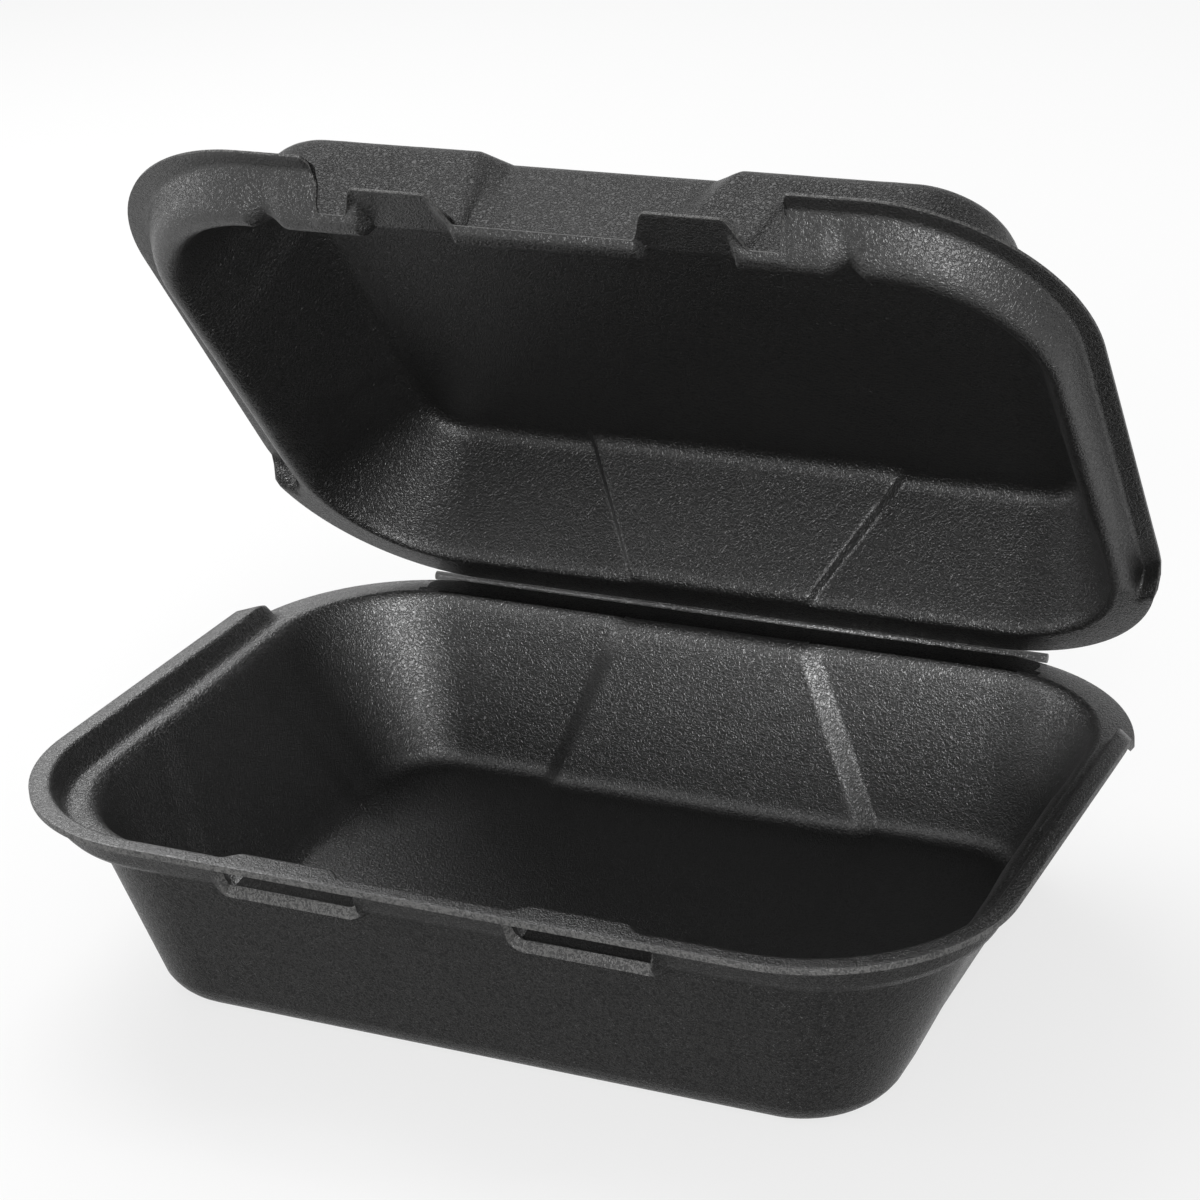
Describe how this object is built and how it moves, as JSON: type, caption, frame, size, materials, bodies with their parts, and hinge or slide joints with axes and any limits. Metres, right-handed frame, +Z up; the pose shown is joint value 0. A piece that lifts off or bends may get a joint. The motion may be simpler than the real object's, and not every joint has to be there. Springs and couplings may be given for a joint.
{
  "type": "foam clamshell container",
  "caption": "Hinged foam take-away container: tapered rectangular tray with a rim rail, and a matching lid on a living hinge that latches at the front with tabs in slots.",
  "frame": {"origin": "centre of the flat underside of the base", "axes": "+X along the hinge line to the right of someone facing the latches, -Y towards the latch side, +Z up"},
  "size_m": [0.236, 0.1876, 0.1905],
  "materials": {
    "foam": "black expanded polystyrene, fine pebbled skin with a satin sheen"
  },
  "bodies": {
    "base": {"base": "foam"},
    "lid": {"lid": "foam"}
  },
  "joints": [
    {"name": "lid_hinge", "type": "hinge", "parent": "base", "child": "lid", "pos_m": [0, 0.0815, 0.0465], "axis": [-1, 0, 0], "range_deg": [-54, 126]}
  ]
}
